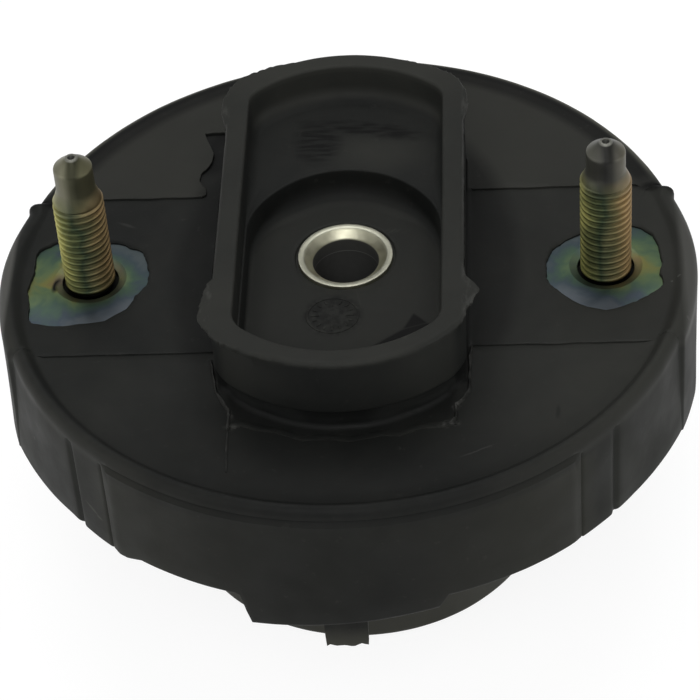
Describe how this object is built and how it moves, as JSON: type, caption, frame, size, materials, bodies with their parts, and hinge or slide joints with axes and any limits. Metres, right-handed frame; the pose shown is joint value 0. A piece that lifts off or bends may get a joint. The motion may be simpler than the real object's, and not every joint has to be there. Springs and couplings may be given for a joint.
{
  "type": "strut mount",
  "caption": "Round rubber strut mount with an oblong pocketed collar, threaded studs in a bonded steel plate and a centre sleeve for the damper rod.",
  "frame": {"origin": "centre of the stud pattern on the seating face of the mounting plate, on the rod's axis", "axes": "+Z along the studs, away from the car's spring; X along the line of the studs; +Y along the pocket towards its shelf"},
  "size_m": [0.1378, 0.1374, 0.0972],
  "materials": {
    "rubber": "moulded black rubber with an olive-grey bloom, satin, with flash along the mould's parting lines",
    "plate_steel": "zinc plated steel with a yellow iridescent passivation, blue-grey to yellow-green",
    "stud_steel": "zinc plated steel with a yellow iridescent passivation, olive yellow with pink edges",
    "sleeve_steel": "bright zinc plated turned steel"
  },
  "bodies": {
    "root": {"rubber_body": "rubber", "mounting_plate": "plate_steel", "studs": "stud_steel", "centre_sleeve": "sleeve_steel"}
  },
  "joints": []
}
